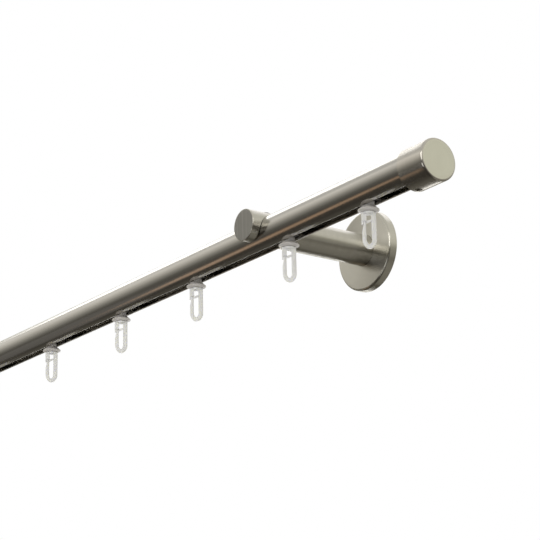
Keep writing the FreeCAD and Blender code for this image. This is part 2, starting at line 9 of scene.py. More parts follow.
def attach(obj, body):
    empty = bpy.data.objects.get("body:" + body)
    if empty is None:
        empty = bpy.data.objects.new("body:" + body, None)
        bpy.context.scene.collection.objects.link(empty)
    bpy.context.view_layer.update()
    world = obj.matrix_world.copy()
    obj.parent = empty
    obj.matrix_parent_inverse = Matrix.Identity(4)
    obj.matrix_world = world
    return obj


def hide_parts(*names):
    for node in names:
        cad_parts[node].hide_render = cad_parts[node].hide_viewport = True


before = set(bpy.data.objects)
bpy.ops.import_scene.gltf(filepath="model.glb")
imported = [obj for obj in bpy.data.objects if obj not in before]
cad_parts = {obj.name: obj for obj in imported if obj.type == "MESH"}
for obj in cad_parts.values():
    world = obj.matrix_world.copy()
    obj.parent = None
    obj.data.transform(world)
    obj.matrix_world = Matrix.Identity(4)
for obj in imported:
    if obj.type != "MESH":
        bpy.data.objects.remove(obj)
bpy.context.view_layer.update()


# Track tube. An extruded aluminium tube with a slot along its underside, a channel above
# the slot for the gliders' shoes, and a web over the channel. It is drawn and brushed
# along its length to a satin, stainless-like finish.

# Shapes are worked out in millimetres in the frame's own axes, with +X along the track, +Y
# into the wall and +Z up, and go into the meshes in metres.
MM = 0.001
scene = bpy.context.scene

TUBE_LEFT, TUBE_RIGHT = -744.3, 149.7
TUBE_Y, TUBE_Z = -79.0, -4.0
TUBE_RADIUS, TUBE_WALL = 10.0, 1.3
SLOT_HALF, LIP_HEIGHT, LIP_ROUNDING = 2.75, 2.3, 0.45
CHANNEL_HEIGHT, WEB = 4.1, 1.2


def arc(centre, radius, start, end, steps):
    """Points on a circle from one angle to another, in degrees: centre + radius (cos, sin)."""
    turn = np.radians(np.linspace(start, end, steps))
    return np.stack([centre[0] + radius * np.cos(turn), centre[1] + radius * np.sin(turn)], axis=1)


def quads(rows, columns):
    """The corner numbers of each face of a grid of points, counted along its rows."""
    corner = np.arange(rows * columns).reshape(rows, columns)
    return np.stack([corner[:-1, :-1], corner[:-1, 1:], corner[1:, 1:], corner[1:, :-1]], axis=-1)


def run_length(line):
    """How far along a line of points each of them lies: the sum of the steps before it."""
    return np.concatenate([[0], np.cumsum(np.linalg.norm(np.diff(line, axis=0), axis=1))])


def tube_section():
    """The section's two closed outlines, as (y, z) about the tube's axis: the outside with
    the slot and the channel, and the D-shaped hollow above the web. The lip's rounding
    touches the slot's side and the outside circle, so its centre lies on a circle that is
    smaller than the outside by its own radius."""
    bore = TUBE_RADIUS - TUBE_WALL
    floor = math.sqrt(TUBE_RADIUS ** 2 - SLOT_HALF ** 2) - LIP_HEIGHT
    ceiling = floor - CHANNEL_HEIGHT
    lip_y = SLOT_HALF + LIP_ROUNDING
    lip_z = -math.sqrt((TUBE_RADIUS - LIP_ROUNDING) ** 2 - lip_y ** 2)
    touch = math.degrees(math.atan2(lip_z, lip_y))
    low, high, top = (math.degrees(math.asin(depth / bore)) for depth in (floor, ceiling, ceiling - WEB))
    lip = arc((lip_y, lip_z), LIP_ROUNDING, 180, 360 + touch, 9)
    outside = np.concatenate([
        lip[:-1],
        arc((0, 0), TUBE_RADIUS, touch, 180 - touch, 181),
        lip[-2::-1] * (-1, 1),
        [[-SLOT_HALF, -floor]],
        arc((0, 0), bore, 180 + low, 180 + high, 13),
        arc((0, 0), bore, -high, -low, 13),
        [[SLOT_HALF, -floor]],
    ])
    return outside, arc((0, 0), bore, -top, 180 + top, 91)


def swept(outline, left, right):
    """A closed outline carried straight along the track: each of its points draws a line."""
    closed = np.concatenate([outline, outline[:1]])
    around = run_length(closed)
    x, index = np.meshgrid(np.linspace(left, right, 25), np.arange(len(closed)), indexing="ij")
    points = np.stack([x, TUBE_Y + closed[index, 0], TUBE_Z + closed[index, 1]], axis=-1)
    return points, quads(*x.shape), np.stack([x, around[index]], axis=-1)


def add_piece(name, patches, materials, body, open_ends=()):
    """One object from several patches. A patch is its points in millimetres, its faces, a
    flat map of its surface in millimetres whose first direction is the way it was brushed,
    and the number of its material where that isn't the first. Patches that meet are welded,
    an edge over 32 degrees stays sharp, and an end left open at one of the given x is closed
    with flat faces."""
    points = np.concatenate([patch[0].reshape(-1, 3) for patch in patches])
    sizes = [patch[0].reshape(-1, 3).shape[0] for patch in patches]
    starts = np.concatenate([[0], np.cumsum(sizes)])
    corners = np.concatenate([patch[1].reshape(-1, 4) + start for patch, start in zip(patches, starts)])
    flat = np.concatenate([patch[2].reshape(-1, 2) for patch in patches])
    numbers = [np.full(patch[1].size // 4, patch[3] if len(patch) > 3 else 0) for patch in patches]
    mesh = bpy.data.meshes.new(name)
    for material in materials:
        mesh.materials.append(material)
    mesh.vertices.add(len(points))
    mesh.vertices.foreach_set("co", (points * MM).ravel())
    mesh.loops.add(corners.size)
    mesh.loops.foreach_set("vertex_index", corners.ravel())
    mesh.polygons.add(len(corners))
    mesh.polygons.foreach_set("loop_start", np.arange(len(corners)) * 4)
    mesh.polygons.foreach_set("material_index", np.concatenate(numbers).astype(np.int32))
    mesh.update(calc_edges=True)
    mesh.uv_layers.new(name="surface").uv.foreach_set("vector", (flat[corners.ravel()] * MM).ravel())
    shell = bmesh.new()
    shell.from_mesh(mesh)
    bmesh.ops.remove_doubles(shell, verts=shell.verts, dist=2e-6)
    bmesh.ops.dissolve_degenerate(shell, dist=1e-6, edges=shell.edges)
    for x in open_ends:
        rim = [e for e in shell.edges if e.is_boundary and abs(e.verts[0].co.x - x * MM) < 1e-5]
        bmesh.ops.triangle_fill(shell, edges=rim, use_beauty=True)
    bmesh.ops.recalc_face_normals(shell, faces=shell.faces)
    shell.to_mesh(mesh)
    shell.free()
    mesh.shade_smooth()
    mesh.set_sharp_from_angle(angle=math.radians(32))
    piece = bpy.data.objects.new(name, mesh)
    scene.collection.objects.link(piece)
    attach(piece, body)
    return piece


def new_group(name, inputs, outputs):
    """An empty node group with number or vector inputs and number outputs."""
    group = bpy.data.node_groups.new(name, "ShaderNodeTree")
    for title, kind, default in inputs:
        socket = group.interface.new_socket(title, in_out="INPUT", socket_type=kind)
        if kind == "NodeSocketFloat":
            socket.default_value = default
    for title in outputs:
        group.interface.new_socket(title, in_out="OUTPUT", socket_type="NodeSocketFloat")
    return group, group.nodes.new("NodeGroupInput"), group.nodes.new("NodeGroupOutput")


def brushed_grain():
    """Fine lines that run along the map's first direction: noise on the map, stretched by the
    streak's length one way and its width the other. A coarser copy makes some bands of lines
    stronger than others. Puts out the lines and their mean strength, both 0 to 1."""
    group, given, result = new_group("brushed grain", [
        ("Surface", "NodeSocketVector", None),
        ("Streak length", "NodeSocketFloat", 0.02),
        ("Streak width", "NodeSocketFloat", 0.0002),
    ], ["Lines", "Bands"])
    nodes, links = group.nodes, group.links
    split = nodes.new("ShaderNodeSeparateXYZ")
    links.new(given.outputs["Surface"], split.inputs[0])
    for title, coarser in (("Lines", 1.0), ("Bands", 9.0)):
        place = nodes.new("ShaderNodeCombineXYZ")
        for axis, size in enumerate(("Streak length", "Streak width")):
            wide = nodes.new("ShaderNodeMath")
            wide.operation = "MULTIPLY"
            wide.inputs[1].default_value = coarser
            links.new(given.outputs[size], wide.inputs[0])
            share = nodes.new("ShaderNodeMath")
            share.operation = "DIVIDE"
            links.new(split.outputs[axis], share.inputs[0])
            links.new(wide.outputs[0], share.inputs[1])
            links.new(share.outputs[0], place.inputs[axis])
        noise = nodes.new("ShaderNodeTexNoise")
        noise.inputs["Scale"].default_value = 1.0
        noise.inputs["Detail"].default_value = 3.0
        links.new(place.outputs[0], noise.inputs["Vector"])
        links.new(noise.outputs["Fac"], result.inputs[title])
    return group


def handling_marks():
    """Faint smudges left by hands and cloths: two sizes of noise on the object's own
    coordinates, multiplied. Puts out 0 to 1."""
    group, given, result = new_group("handling marks", [("Position", "NodeSocketVector", None)], ["Marks"])
    nodes, links = group.nodes, group.links
    sizes = []
    for scale in (42.0, 260.0):
        noise = nodes.new("ShaderNodeTexNoise")
        noise.inputs["Scale"].default_value = scale
        noise.inputs["Detail"].default_value = 2.0
        links.new(given.outputs["Position"], noise.inputs["Vector"])
        sizes.append(noise)
    both = nodes.new("ShaderNodeMath")
    both.operation = "MULTIPLY"
    both.use_clamp = True
    links.new(sizes[0].outputs["Fac"], both.inputs[0])
    links.new(sizes[1].outputs["Fac"], both.inputs[1])
    spread = nodes.new("ShaderNodeMapRange")
    spread.inputs["From Min"].default_value = 0.12
    spread.inputs["From Max"].default_value = 0.42
    links.new(both.outputs[0], spread.inputs["Value"])
    links.new(spread.outputs[0], result.inputs["Marks"])
    return group


GRAIN = brushed_grain()
MARKS = handling_marks()


def brushed_metal(name, pale, deep, roughness, stretch, streak, depth):
    """Solid brushed metal: colour and roughness follow the lines of the grain, smudges dull it
    a little, and its highlights are drawn out across the grain."""
    material = bpy.data.materials.new(name)
    material.use_nodes = True
    nodes, links = material.node_tree.nodes, material.node_tree.links
    shader = nodes["Principled BSDF"]
    shader.inputs["Metallic"].default_value = 1.0
    shader.inputs["Anisotropic"].default_value = stretch
    shader.inputs["Anisotropic Rotation"].default_value = 0.25
    surface = nodes.new("ShaderNodeUVMap")
    surface.uv_map = "surface"
    position = nodes.new("ShaderNodeTexCoord")
    grain = nodes.new("ShaderNodeGroup")
    grain.node_tree = GRAIN
    grain.inputs["Streak length"].default_value = streak[0] * MM
    grain.inputs["Streak width"].default_value = streak[1] * MM
    links.new(surface.outputs["UV"], grain.inputs["Surface"])
    marks = nodes.new("ShaderNodeGroup")
    marks.node_tree = MARKS
    links.new(position.outputs["Object"], marks.inputs["Position"])
    colour = nodes.new("ShaderNodeMix")
    colour.data_type = "RGBA"
    colour.inputs[6].default_value = (*deep, 1)
    colour.inputs[7].default_value = (*pale, 1)
    links.new(grain.outputs["Bands"], colour.inputs["Factor"])
    links.new(colour.outputs[2], shader.inputs["Base Color"])
    gloss = nodes.new("ShaderNodeMapRange")
    gloss.inputs["To Min"].default_value = roughness - 0.03
    gloss.inputs["To Max"].default_value = roughness + 0.05
    dull = nodes.new("ShaderNodeMath")
    dull.operation = "MULTIPLY_ADD"
    dull.inputs[1].default_value = 0.5
    links.new(marks.outputs["Marks"], dull.inputs[0])
    half = nodes.new("ShaderNodeMath")
    half.operation = "MULTIPLY"
    half.inputs[1].default_value = 0.5
    links.new(grain.outputs["Bands"], half.inputs[0])
    links.new(half.outputs[0], dull.inputs[2])
    links.new(dull.outputs[0], gloss.inputs["Value"])
    links.new(gloss.outputs[0], shader.inputs["Roughness"])
    bump = nodes.new("ShaderNodeBump")
    bump.inputs["Strength"].default_value = 1.0
    bump.inputs["Distance"].default_value = depth * MM
    links.new(grain.outputs["Lines"], bump.inputs["Height"])
    links.new(bump.outputs["Normal"], shader.inputs["Normal"])
    along = nodes.new("ShaderNodeTangent")
    along.direction_type = "UV_MAP"
    along.uv_map = "surface"
    links.new(along.outputs["Tangent"], shader.inputs["Tangent"])
    return material


tube_metal = brushed_metal("drawn satin tube", pale=(0.62, 0.60, 0.56), deep=(0.53, 0.51, 0.47),
                           roughness=0.17, stretch=0.3, streak=(22.0, 0.35), depth=0.0005)
section, hollow = tube_section()
tube = add_piece("tube", [swept(section, TUBE_LEFT, TUBE_RIGHT), swept(hollow, TUBE_LEFT, TUBE_RIGHT)],
                 [tube_metal], "track", open_ends=(TUBE_LEFT, TUBE_RIGHT))
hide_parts("track_tube")


# End caps. Turned and satin-finished, they slip over the tube's ends. The bore sits high
# in the cap, so its wall is thick below, where a grub screw goes in from underneath.

END_RIGHT, END_LEFT = 152.7, -747.3
CAP_RADIUS, CAP_DROP, CAP_LENGTH = 12.0, 1.25, 20.0
CAP_BORE, CAP_END_WALL = 10.05, 3.0
CAP_ROUNDING, CAP_BREAK = 1.2, 0.2
CAP_HOLE, CAP_HOLE_RADIUS, CAP_WINDOW = 16.6, 2.05, 3.0
WINDOW_LINES = 12


def round_angles(radius, window, steps=96):
    """Angles once round a barrel, from its drilled side: even widths across the square window
    that the hole stands in, and even turns over the rest."""
    across = np.arcsin(np.linspace(-window, window, WINDOW_LINES + 1) / radius)
    return np.concatenate([across, np.linspace(across[-1], 2 * np.pi + across[0], steps)[1:]])


def lathed(profile, angles, drop=0.0):
    """A profile of (along, radius) points turned about the axis: sideways is radius times the
    angle's sine, and height minus its cosine. The map's first direction runs round."""
    profile = np.asarray(profile, float)
    along, turn = np.meshgrid(profile[:, 0], angles, indexing="ij")
    radius = np.broadcast_to(profile[:, 1:], turn.shape)
    points = np.stack([along, radius * np.sin(turn), -drop - radius * np.cos(turn)], axis=-1)
    around = turn * profile[:, 1].max()
    across = np.broadcast_to(run_length(profile)[:, None], turn.shape)
    return points, quads(*turn.shape), np.stack([around, across], axis=-1)


def window_rings(hole_radius, window, rings=5):
    """Rings round a hole in a square window, as flat (along, sideways) points about the hole:
    each ring lies a further share of the way from the hole's circle to the square."""
    side = np.linspace(-window, window, WINDOW_LINES + 1)[:-1]
    edge = np.full(WINDOW_LINES, window)
    along = np.concatenate([-edge, side, edge, -side])
    sideways = np.concatenate([side, edge, -side, -edge])
    square = np.stack([along, sideways], axis=1)
    square = np.concatenate([square, square[:1]])
    circle = hole_radius * square / np.linalg.norm(square, axis=1, keepdims=True)
    share = np.linspace(0, 1, rings + 1)[:, None, None]
    return circle * (1 - share) + square * share


def drilled_barrel(radius, ends, hole, hole_radius, window, angles, drop=0.0):
    """The wall of a cylinder with one round hole through its lowest line. Around the hole, a
    square window is filled with rings, and the rest is a grid of distance along and angle.
    On the window the height is minus the root of radius squared less sideways squared."""
    side = np.linspace(-window, window, WINDOW_LINES + 1)
    before = np.linspace(ends[0], hole - window, 4)[:-1]
    after = np.linspace(hole + window, ends[1], 4)[1:]
    along, turn = np.meshgrid(np.concatenate([before, hole + side, after]), angles, indexing="ij")
    points = np.stack([along, radius * np.sin(turn), -drop - radius * np.cos(turn)], axis=-1)
    faces = quads(*turn.shape)
    kept = np.ones(faces.shape[:2], bool)
    kept[len(before):len(before) + WINDOW_LINES, :WINDOW_LINES] = False
    wall = points, faces[kept], np.stack([turn * radius, along], axis=-1)
    flat = window_rings(hole_radius, window)
    height = -drop - np.sqrt(radius ** 2 - flat[..., 1] ** 2)
    points = np.stack([hole + flat[..., 0], flat[..., 1], height], axis=-1)
    rings_map = np.stack([np.arcsin(flat[..., 1] / radius) * radius, hole + flat[..., 0]], axis=-1)
    return [wall, (points, quads(*height.shape), rings_map)]


def bridged(first, last, steps=1):
    """Straight lines between two closed rows of points, shared into equal steps."""
    share = np.linspace(0, 1, steps + 1)[:, None, None]
    points = first * (1 - share) + last * share
    rows, columns = points.shape[:2]
    around, across = np.meshgrid(run_length(first), np.linspace(0, 1, rows))
    width = np.linalg.norm(last[0] - first[0])
    return points, quads(rows, columns), np.stack([around, across * width], axis=-1)


def hole_wall(outer, inner, hole, hole_radius, window):
    """The wall of a hole drilled through two barrels. Each is given as (radius, drop)."""
    flat = window_rings(hole_radius, window)[0]
    edges = [np.stack([hole + flat[:, 0], flat[:, 1],
                       -drop - np.sqrt(radius ** 2 - flat[:, 1] ** 2)], axis=-1)
             for radius, drop in (outer, inner)]
    return bridged(*edges)


def set_in(patches, origin, axes):
    """Patches moved from their own (along, sideways, height) to the frame, each of the three
    directions along one of the given axes."""
    return [(patch[0] @ np.asarray(axes, float) + origin, *patch[1:]) for patch in patches]


def cap_patches():
    """The cap, measured inwards from its face: face, rounding, drilled barrel, broken edge, a
    rim between two circles that aren't about one centre, the drilled bore and its end."""
    outside = round_angles(CAP_RADIUS, CAP_WINDOW)
    inside = round_angles(CAP_BORE, CAP_WINDOW)
    shoulder = arc((CAP_ROUNDING, CAP_RADIUS - CAP_ROUNDING), CAP_ROUNDING, 180, 90, 9)
    face = [(0, 0.01)] + [(0, r) for r in np.linspace(0.6, CAP_RADIUS - CAP_ROUNDING, 10)]
    edge = [(CAP_LENGTH - CAP_BREAK, CAP_RADIUS), (CAP_LENGTH, CAP_RADIUS - CAP_BREAK)]
    mouth = lathed(edge, outside, CAP_DROP)
    bore_mouth = lathed([(CAP_LENGTH, CAP_BORE)], inside)[0][0]
    hole = (CAP_HOLE, CAP_HOLE_RADIUS, CAP_WINDOW)
    return [
        (*lathed(face, outside, CAP_DROP), 1),
        lathed(shoulder, outside, CAP_DROP),
        *drilled_barrel(CAP_RADIUS, (CAP_ROUNDING, CAP_LENGTH - CAP_BREAK), *hole, outside, CAP_DROP),
        mouth,
        bridged(mouth[0][-1], bore_mouth, 2),
        *drilled_barrel(CAP_BORE, (CAP_END_WALL, CAP_LENGTH), *hole, inside),
        lathed([(CAP_END_WALL, CAP_BORE), (CAP_END_WALL, 0.01)], inside),
        hole_wall((CAP_RADIUS, CAP_DROP), (CAP_BORE, 0.0), *hole),
    ]


cap_metal = brushed_metal("satin turned cap", pale=(0.64, 0.61, 0.55), deep=(0.55, 0.52, 0.47),
                          roughness=0.22, stretch=0.8, streak=(9.0, 0.35), depth=0.0003)
# Painted light: the cap's face is the side's metal painted lighter, standing in for the brighter light the
# face catches.
cap_face_metal_painted_light = brushed_metal("satin cap face", pale=(0.77, 0.76, 0.65), deep=(0.68, 0.67, 0.57),
                               roughness=0.30, stretch=0.2, streak=(12.0, 0.5), depth=0.0002)
for side, end, inward in (("right", END_RIGHT, -1), ("left", END_LEFT, 1)):
    axes = [(inward, 0, 0), (0, 1, 0), (0, 0, 1)]
    cap = add_piece(f"cap_{side}", set_in(cap_patches(), (end, TUBE_Y, TUBE_Z), axes),
                    [cap_metal, cap_face_metal_painted_light], "track")
    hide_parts(f"end_cap_{side}")


# Bracket arms. A turned bar stands out from the wall plate. Near its end it is milled out
# from below into a saddle, in which the tube lies, and the bar's end beyond the tube is
# left as a round head with a face brushed up and down. A low screw goes in from the top.

BRACKET_X = {"right": 0.0, "left": -594.6}
ARM_RADIUS, ARM_RISE, ARM_LENGTH = 9.5, 4.0, 75.0
HEAD_REACH, HEAD_ROUNDING = 15.5, 0.4
SADDLE_RADIUS, SADDLE_DROP = 10.35, 0.35
SEAT, SEAT_RADIUS, SEAT_WINDOW = 7.9, 3.65, 4.6


def arm_patches():
    """The arm, measured along Y from the tube's axis, sideways along X, and up from the bar's
    own axis. The saddle is a round arch on two straight walls. Every row of the bar's wall
    runs along the bar at one angle, and the saddle cuts a gap out of it: half the gap is the
    saddle's radius where its walls stand, and the radius times the cosine of the arch's own
    angle above them, down to nothing at its crown. Rows past the crown run through, but for
    a square window over the screw's seat."""
    base = -SADDLE_DROP - ARM_RISE
    legs = np.linspace(0, np.arccos(-base / ARM_RADIUS), 9)
    arch = np.linspace(0, np.pi / 2, 25)
    arch_rows = np.arccos(-(base + SADDLE_RADIUS * np.sin(arch)) / ARM_RADIUS)
    seat_edge = np.pi - np.arcsin(SEAT_WINDOW / ARM_RADIUS)
    roof = np.linspace(arch_rows[-1], seat_edge, 6)[1:-1]
    seat = np.pi - np.arcsin(np.linspace(SEAT_WINDOW, -SEAT_WINDOW, WINDOW_LINES + 1) / ARM_RADIUS)
    climb = np.concatenate([legs[:-1], arch_rows])
    climb_gap = np.concatenate([np.full(len(legs) - 1, SADDLE_RADIUS), SADDLE_RADIUS * np.cos(arch)])
    rows = np.concatenate([climb, roof, seat, 2 * np.pi - roof[::-1], 2 * np.pi - climb[::-1]])
    gap = np.concatenate([climb_gap, np.zeros(2 * len(roof) + len(seat)), climb_gap[::-1]])
    seat_start = len(climb) + len(roof)

    front, back = HEAD_ROUNDING - HEAD_REACH, ARM_LENGTH
    near = gap + SEAT_WINDOW * (1 + gap / front)
    inner, outer = np.linspace(0, 1, WINDOW_LINES // 2 + 1), np.linspace(0, 1, 7)
    patches = []
    for sign, end in ((-1, front), (1, back)):
        split, cut = (sign * near)[:, None], (sign * gap)[:, None]
        along = np.concatenate([end + (split - end) * outer[:-1], split + (cut - split) * inner], axis=1)
        turn = np.broadcast_to(rows[:, None], along.shape)
        points = np.stack([along, ARM_RADIUS * np.sin(turn), -ARM_RADIUS * np.cos(turn)], axis=-1)
        faces = quads(*turn.shape)
        kept = np.ones(faces.shape[:2], bool)
        kept[seat_start:seat_start + WINDOW_LINES, len(outer) - 1:] = False
        patches.append((points, faces[kept], np.stack([turn * ARM_RADIUS, along], axis=-1)))

    share = np.linspace(-1, 1, 9)
    half_width, height = ARM_RADIUS * np.sin(climb), -ARM_RADIUS * np.cos(climb)
    for sign in (-1, 1):
        across = half_width[:, None] * share
        points = np.stack([np.broadcast_to((sign * climb_gap)[:, None], across.shape), across,
                           np.broadcast_to(height[:, None], across.shape)], axis=-1)
        patches.append((points, quads(*across.shape), points[..., 1:]))

    flat = window_rings(SEAT_RADIUS, SEAT_WINDOW)
    height = np.sqrt(ARM_RADIUS ** 2 - flat[..., 1] ** 2)
    patches.append((np.concatenate([flat, height[..., None]], axis=-1), quads(*height.shape),
                    np.stack([np.arcsin(flat[..., 1] / ARM_RADIUS) * ARM_RADIUS, flat[..., 0]], axis=-1)))
    brim = np.concatenate([flat[0], height[0][:, None]], axis=1)
    floor = np.concatenate([flat[0], np.full((len(brim), 1), SEAT)], axis=1)
    patches += [bridged(brim, floor), bridged(floor, floor * (0.002, 0.002, 1))]

    rounding = arc((front, ARM_RADIUS - HEAD_ROUNDING), HEAD_ROUNDING, 90, 180, 7)
    patches += [lathed(rounding, rows), lathed([(back, ARM_RADIUS), (back, 0.01)], rows)]
    face = lathed([(-HEAD_REACH, r) for r in np.linspace(0.01, ARM_RADIUS - HEAD_ROUNDING, 8)], rows)
    patches.append((face[0], face[1], face[0][..., [2, 1]], 1))
    return patches


arm_metal = brushed_metal("turned arm", pale=(0.64, 0.62, 0.56), deep=(0.56, 0.54, 0.48),
                          roughness=0.24, stretch=1.0, streak=(14.0, 0.35), depth=0.0004)
# Painted shade: the head's face is the arm's steel painted much darker, standing in for the shade on the
# face.
head_metal_painted_shade = brushed_metal("upright-brushed head", pale=(0.36, 0.35, 0.32), deep=(0.14, 0.135, 0.12),
                           roughness=0.50, stretch=1.0, streak=(30.0, 0.2), depth=0.002)
for side, x in BRACKET_X.items():
    axes = [(0, 1, 0), (1, 0, 0), (0, 0, 1)]
    arm = add_piece(f"arm_{side}", set_in(arm_patches(), (x, TUBE_Y, TUBE_Z + ARM_RISE), axes),
                    [arm_metal, head_metal_painted_shade], "track")
    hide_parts(f"bracket_arm_{side}")


# Rosettes. Pressed covers that slide along the arm and hide the wall plate. The face is
# turned in circles, its edge is rolled over, and a small grub screw sits in the rim's top.

ROSETTE_RADIUS, ROSETTE_INSIDE, ROSETTE_BORE = 24.6, 23.0, 9.6
ROSETTE_DEPTH, ROSETTE_WALL, ROSETTE_ROUNDING, ROSETTE_BREAK = 5.8, 1.4, 1.3, 0.2
RIM_HOLE, RIM_HOLE_RADIUS, RIM_WINDOW = 2.2, 1.55, 1.85


def rosette_patches():
    """The rosette, measured out from the wall and turned over, so that its drilled side comes
    on top: face, rolled edge, drilled rim, foot, the drilled inside, its floor and the bore."""
    outside = round_angles(ROSETTE_RADIUS, RIM_WINDOW, 140)
    inside = round_angles(ROSETTE_INSIDE, RIM_WINDOW, 140)
    shoulder = ROSETTE_DEPTH - ROSETTE_ROUNDING
    roll = arc((shoulder, ROSETTE_RADIUS - ROSETTE_ROUNDING), ROSETTE_ROUNDING, 0, 90, 9)
    face = [(ROSETTE_DEPTH, r) for r in np.linspace(ROSETTE_BORE, ROSETTE_RADIUS - ROSETTE_ROUNDING, 12)]
    foot = lathed([(ROSETTE_BREAK, ROSETTE_RADIUS), (0, ROSETTE_RADIUS - ROSETTE_BREAK)], outside)
    inner_foot = lathed([(0, ROSETTE_INSIDE)], inside)[0][0]
    floor = ROSETTE_DEPTH - ROSETTE_WALL
    hole = (RIM_HOLE, RIM_HOLE_RADIUS, RIM_WINDOW)
    bore_far, bore_near = (lathed([(a, ROSETTE_BORE)], angles)[0][0]
                           for a, angles in ((ROSETTE_DEPTH, outside), (floor, inside)))
    return [
        (*lathed(face, outside), 1),
        lathed(roll, outside),
        *drilled_barrel(ROSETTE_RADIUS, (ROSETTE_BREAK, shoulder), *hole, outside),
        foot,
        bridged(foot[0][-1], inner_foot, 2),
        *drilled_barrel(ROSETTE_INSIDE, (0, floor), *hole, inside),
        lathed([(floor, ROSETTE_INSIDE), (floor, ROSETTE_BORE)], inside),
        bridged(bore_near, bore_far),
        hole_wall((ROSETTE_RADIUS, 0.0), (ROSETTE_INSIDE, 0.0), *hole),
    ]


rim_metal = brushed_metal("turned rosette rim", pale=(0.66, 0.64, 0.57), deep=(0.58, 0.56, 0.49),
                          roughness=0.24, stretch=1.0, streak=(16.0, 0.35), depth=0.0004)
disc_metal = brushed_metal("circle-turned rosette face", pale=(0.71, 0.69, 0.62), deep=(0.62, 0.60, 0.53),
                           roughness=0.32, stretch=0.95, streak=(24.0, 0.3), depth=0.0006)
for side, x in BRACKET_X.items():
    axes = [(0, -1, 0), (1, 0, 0), (0, 0, -1)]
    rosette = add_piece(f"rosette_cover_{side}", set_in(rosette_patches(), (x, 0, 0), axes),
                        [rim_metal, disc_metal], "track")
    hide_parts(f"rosette_{side}")


# Wall plates and small screws. Zinc-plated plates with countersunk holes, held behind the
# rosettes, and nickel-plated screws with hexagon sockets. Their frame meshes are kept.

def plated_metal(name, colour, roughness, cloud):
    """Plated steel: a faintly clouded colour and roughness from noise on the object's own
    coordinates, and a fine orange-peel surface."""
    material = bpy.data.materials.new(name)
    material.use_nodes = True
    nodes, links = material.node_tree.nodes, material.node_tree.links
    shader = nodes["Principled BSDF"]
    shader.inputs["Metallic"].default_value = 1.0
    position = nodes.new("ShaderNodeTexCoord")
    marks = nodes.new("ShaderNodeGroup")
    marks.node_tree = MARKS
    links.new(position.outputs["Object"], marks.inputs["Position"])
    tint = nodes.new("ShaderNodeMix")
    tint.data_type = "RGBA"
    tint.inputs[6].default_value = (*colour, 1)
    tint.inputs[7].default_value = (*[c * cloud for c in colour], 1)
    links.new(marks.outputs["Marks"], tint.inputs["Factor"])
    links.new(tint.outputs[2], shader.inputs["Base Color"])
    gloss = nodes.new("ShaderNodeMapRange")
    gloss.inputs["To Min"].default_value = roughness
    gloss.inputs["To Max"].default_value = roughness + 0.15
    links.new(marks.outputs["Marks"], gloss.inputs["Value"])
    links.new(gloss.outputs[0], shader.inputs["Roughness"])
    peel = nodes.new("ShaderNodeTexNoise")
    peel.inputs["Scale"].default_value = 1400.0
    links.new(position.outputs["Object"], peel.inputs["Vector"])
    bump = nodes.new("ShaderNodeBump")
    bump.inputs["Strength"].default_value = 0.6
    bump.inputs["Distance"].default_value = 0.00001
    links.new(peel.outputs["Fac"], bump.inputs["Height"])
    links.new(bump.outputs["Normal"], shader.inputs["Normal"])
    return material


def repaint(node, material):
    """Gives a frame mesh that stays in view its own material."""
    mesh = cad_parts[node].data
    mesh.materials.clear()
    mesh.materials.append(material)


zinc = plated_metal("zinc plating", (0.58, 0.60, 0.62), 0.32, 0.8)
nickel = plated_metal("nickel plating", (0.42, 0.40, 0.37), 0.22, 0.75)
for side in BRACKET_X:
    repaint(f"wall_plate_{side}", zinc)
for node in ("cap_grub_screws", "tube_screws", "arm_bolts", "rosette_grub_screws"):
    repaint(node, nickel)


# Gliders. A runner whose shoe slides in the tube's channel and whose flange hangs below
# the slot, and a snap hook that turns on a stem in the runner. The hook is moulded in
# white nylon, and the runner is painted greyer as painted shade from the tube above it,
# its shoe darker still as painted shade in the channel. Their frame meshes are kept.

# The heights between which painted shade sets in on a runner: above the slot's mouth, where the tube's
# channel shades the shoe.
CHANNEL_SHADE_FROM, CHANNEL_SHADE_FULL = -12.6, -11.0


